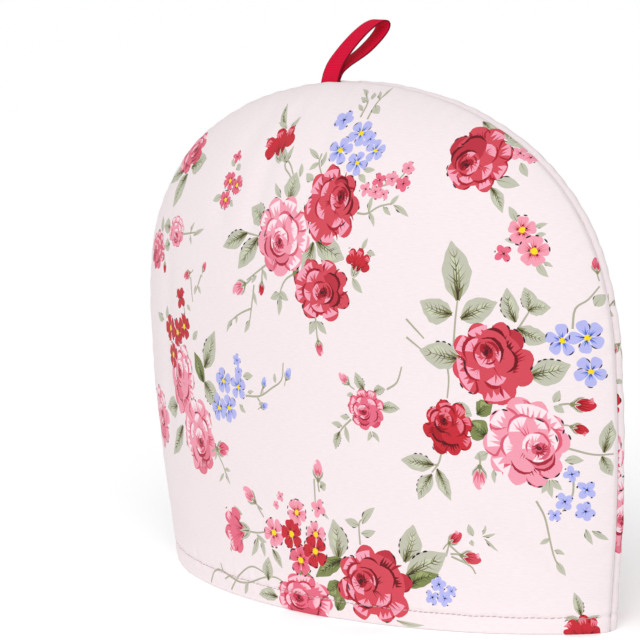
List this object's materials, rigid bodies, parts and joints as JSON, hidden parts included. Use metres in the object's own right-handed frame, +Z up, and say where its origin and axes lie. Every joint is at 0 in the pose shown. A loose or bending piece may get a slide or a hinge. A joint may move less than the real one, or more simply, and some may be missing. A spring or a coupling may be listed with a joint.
{
  "type": "tea cosy",
  "caption": "Padded dome-shaped tea cosy of arched, rose-printed cotton panels sewn face to face, open at the hem, with a ribbon hanging loop at the top.",
  "frame": {"origin": "on the surface it stands on, under the middle of the dome, in the seam's plane", "axes": "+X along the seam's plane towards the right-hand end of the hem, +Y from the front panel to the back panel, +Z up"},
  "size_m": [0.3294, 0.1166, 0.2973],
  "materials": {
    "printed_cotton": "plain-woven cotton, pale blush ground printed with roses, leaves and small blue flowers",
    "grosgrain_ribbon": "crimson ribbed ribbon with a slight sheen"
  },
  "bodies": {
    "root": {"front_panel": "printed_cotton", "back_panel": "printed_cotton", "hanging_loop": "grosgrain_ribbon"}
  },
  "joints": []
}
